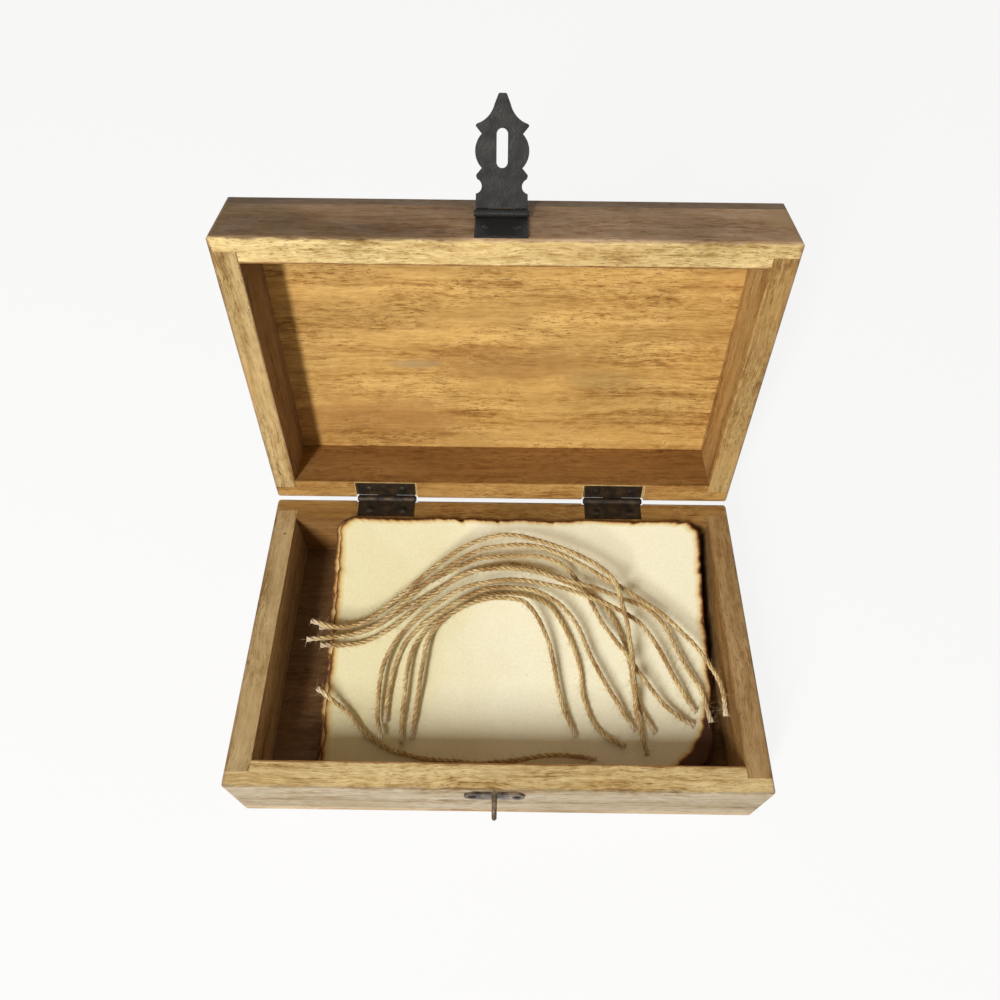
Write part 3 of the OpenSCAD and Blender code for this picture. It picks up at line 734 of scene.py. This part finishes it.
def make_hair():
    """One bent, tapering hair that stands on the origin."""
    hair = bmesh.new()
    rows = []
    for i in range(4):
        t = i / 3
        radius = hair_r * (1 - 0.8 * t)
        bend = hair_bend * hair_length * t * t
        row = []
        for a in (0, 2.1, 4.2):
            row.append(hair.verts.new((radius * math.cos(a) + bend, radius * math.sin(a), hair_length * t)))
        rows.append(row)
    for row, following in zip(rows, rows[1:]):
        for k in range(3):
            m = (k + 1) % 3
            hair.faces.new((row[k], row[m], following[m], following[k]))
    hair.faces.new(list(reversed(rows[0])))
    hair.faces.new(rows[-1])
    bmesh.ops.recalc_face_normals(hair, faces=hair.faces)
    mesh = bpy.data.meshes.new("jute_hair")
    hair.to_mesh(mesh)
    hair.free()
    return bpy.data.objects.new("jute_hair", mesh)


def fluff_tree(hair):
    """Geometry nodes that scatter the hair over a surface, each one leaning its own way."""
    tree = bpy.data.node_groups.new("fluff", "GeometryNodeTree")
    face = tree.interface
    face.new_socket("Geometry", in_out="INPUT", socket_type="NodeSocketGeometry")
    face.new_socket("Density", in_out="INPUT", socket_type="NodeSocketFloat")
    face.new_socket("Lean", in_out="INPUT", socket_type="NodeSocketFloat")
    face.new_socket("Seed", in_out="INPUT", socket_type="NodeSocketInt")
    face.new_socket("Geometry", in_out="OUTPUT", socket_type="NodeSocketGeometry")
    given = tree.nodes.new("NodeGroupInput").outputs
    scatter = {"Mesh": given["Geometry"], "Density": given["Density"], "Seed": given["Seed"]}
    points = add_node(tree, "GeometryNodeDistributePointsOnFaces", scatter).outputs
    limits = {"Seed": given["Seed"]}
    for key, corner in enumerate(((-1, -1, -3.1), (1, 1, 3.1))):
        reach = {0: corner, "Scale": given["Lean"]}
        limits[key] = add_node(tree, "ShaderNodeVectorMath", reach, operation="SCALE").outputs[0]
    lean = add_node(tree, "FunctionNodeRandomValue", limits, data_type="FLOAT_VECTOR").outputs[0]
    size = add_node(tree, "FunctionNodeRandomValue", {2: 0.15, 3: 1.0}, data_type="FLOAT").outputs[1]
    turn = {"Rotation": points["Rotation"], 1: lean}
    turned = add_node(tree, "FunctionNodeRotateEuler", turn, rotation_type="EULER", space="LOCAL")
    source = add_node(tree, "GeometryNodeObjectInfo", {"Object": hair}).outputs["Geometry"]
    planted = {"Points": points["Points"], "Instance": source, "Rotation": turned.outputs[0], "Scale": size}
    hairs = add_node(tree, "GeometryNodeInstanceOnPoints", planted).outputs["Instances"]
    solid = add_node(tree, "GeometryNodeRealizeInstances", {"Geometry": hairs}).outputs[0]
    dressed = add_node(tree, "GeometryNodeSetMaterial", {"Geometry": solid, "Material": jute}).outputs[0]
    tree.links.new(dressed, tree.nodes.new("NodeGroupOutput").inputs[0])
    return tree


def grow_fluff(cords):
    """A plain mesh of all the hairs on the cords."""
    skin = bmesh.new()
    for cord in cords:
        skin.from_mesh(cord.data)
    skin_mesh = bpy.data.meshes.new("twine_fluff")
    skin.to_mesh(skin_mesh)
    skin.free()
    carrier = bpy.data.objects.new("fluff_carrier", skin_mesh)
    bpy.context.scene.collection.objects.link(carrier)
    hair = make_hair()
    modifier = carrier.modifiers.new("fluff", "NODES")
    modifier.node_group = fluff_tree(hair)
    chosen = {"Density": hairs_per_m2, "Lean": hair_lean, "Seed": fluff_seed}
    for item in modifier.node_group.interface.items_tree:
        if item.in_out == "INPUT" and item.name in chosen:
            modifier[item.identifier] = chosen[item.name]
    settled = carrier.evaluated_get(bpy.context.evaluated_depsgraph_get())
    result = bpy.data.meshes.new_from_object(settled)
    bpy.data.objects.remove(carrier)
    bpy.data.objects.remove(hair)
    result.name = "twine_fluff"
    return result


add_piece("twine_fluff", grow_fluff(twine_pieces), "base", "jute")

# The studio: the camera looks steeply down into the open box from in front. A
# pale floor stays almost white to it and keeps the case's shadow, one soft lamp
# stands high on the left in front, and the sky is even and warm.
camera_data = bpy.data.cameras.new("camera")
camera_data.sensor_width = 36
camera_data.lens = 28.35
camera_data.clip_start = 0.01
camera = bpy.data.objects.new("camera", camera_data)
bpy.context.scene.collection.objects.link(camera)
bpy.context.scene.camera = camera
camera_turn = (
    Matrix.Rotation(math.radians(0.306), 4, "Z")
    @ Matrix.Rotation(math.radians(-56.29), 4, "X")
    @ Matrix.Rotation(math.radians(-0.474), 4, "Y")
    @ Matrix.Rotation(math.radians(90), 4, "X")
)
camera.matrix_world = Matrix.Translation((0.23 * MM, -134.25 * MM, 331.79 * MM)) @ camera_turn


def backdrop_rays(tree):
    """1 for the rays that show the backdrop itself: seen directly, mirrored or through glass."""
    paths = add_node(tree, "ShaderNodeLightPath").outputs
    seen = sums(tree, "MAXIMUM", paths["Is Camera Ray"], paths["Is Glossy Ray"])
    return sums(tree, "MAXIMUM", seen, paths["Is Transmission Ray"])


floor_reach = 3.0
floor_mesh = bpy.data.meshes.new("floor")
floor_mesh.from_pydata(
    [
        (-floor_reach, -floor_reach, 0),
        (floor_reach, -floor_reach, 0),
        (floor_reach, floor_reach, 0),
        (-floor_reach, floor_reach, 0),
    ],
    [],
    [(0, 1, 2, 3)],
)
floor = bpy.data.objects.new("floor", floor_mesh)
bpy.context.scene.collection.objects.link(floor)
floor_paint, floor_tree, floor_shader = new_material("floor_paint")
floor_shader.inputs["Base Color"].default_value = (0.82, 0.82, 0.82, 1)
floor_shader.inputs["Roughness"].default_value = 0.9
white_light = add_node(floor_tree, "ShaderNodeEmission", {"Color": (1, 1, 1, 1), "Strength": 1.0})
shown = sums(floor_tree, "MULTIPLY", backdrop_rays(floor_tree), 0.88)
floor_mix = {0: shown, 1: floor_shader.outputs[0], 2: white_light.outputs[0]}
floor_blend = add_node(floor_tree, "ShaderNodeMixShader", floor_mix)
floor_tree.links.new(floor_blend.outputs[0], floor_tree.nodes["Material Output"].inputs["Surface"])
floor_mesh.materials.append(floor_paint)

lamp_data = bpy.data.lights.new("lamp", "AREA")
lamp_data.shape = "RECTANGLE"
lamp_data.size = 0.14
lamp_data.size_y = 0.8
lamp_data.energy = 24.0
lamp = bpy.data.objects.new("lamp", lamp_data)
bpy.context.scene.collection.objects.link(lamp)
lamp_way = Vector((-0.28, -0.77, 0.57)).normalized()
lamp.location = Vector((-0.13, 0.02, 0.05)) + lamp_way * 1.5
lamp.rotation_euler = lamp_way.to_track_quat("Z", "Y").to_euler()

world = bpy.data.worlds.new("sky")
bpy.context.scene.world = world
world.use_nodes = True
sky = world.node_tree
fill = blend_colour(sky, backdrop_rays(sky), (0.25, 0.198, 0.142, 1), (1, 1, 1, 1))
sky.links.new(fill, sky.nodes["Background"].inputs["Color"])
bpy.context.scene.view_settings.view_transform = "Standard"
